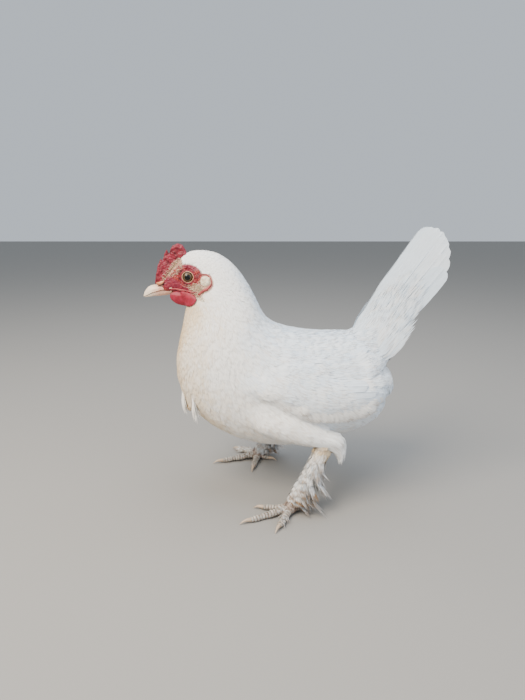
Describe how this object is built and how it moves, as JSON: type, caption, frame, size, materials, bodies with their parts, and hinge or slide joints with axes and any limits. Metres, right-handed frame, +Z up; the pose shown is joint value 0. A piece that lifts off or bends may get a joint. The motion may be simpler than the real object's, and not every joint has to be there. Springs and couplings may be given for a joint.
{
  "type": "booted bantam hen",
  "caption": "Standing bantam hen with feathered shanks, upright tail, single comb and closed beak; a still life-size bird that rests on both feet.",
  "frame": {"origin": "centre of the bounding box's base, on the floor between the feet", "axes": "+X towards the tail, so the beak points to -X; +Y towards the bird's right side; +Z up"},
  "size_m": [0.2752, 0.167, 0.2514],
  "materials": {
    "white_feather": "matt, barbed vanes lying like tiles",
    "red_skin": "fine wrinkled, slightly glossy",
    "cream_skin": "smooth, matt",
    "horn": "satin horn",
    "claw_horn": "satin horn",
    "iris": "wet gloss",
    "toe_skin": "scaly, matt"
  },
  "bodies": {
    "root": {"torso": "white_feather", "neck": "white_feather", "head": "white_feather", "tail": "white_feather", "beak_upper": "horn", "beak_lower": "horn", "comb": "red_skin", "eye_left": "iris", "wattle_left": "red_skin", "ear_lobe_left": "cream_skin", "wing_left": "white_feather", "thigh_left": "white_feather", "shank_left": "white_feather", "foot_left": "toe_skin", "claw_left_middle": "claw_horn", "claw_left_inner": "claw_horn", "claw_left_outer": "claw_horn", "claw_left_hallux": "claw_horn", "eye_right": "iris", "wattle_right": "red_skin", "ear_lobe_right": "cream_skin", "wing_right": "white_feather", "thigh_right": "white_feather", "shank_right": "white_feather", "foot_right": "toe_skin", "claw_right_middle": "claw_horn", "claw_right_inner": "claw_horn", "claw_right_outer": "claw_horn", "claw_right_hallux": "claw_horn"}
  },
  "joints": []
}
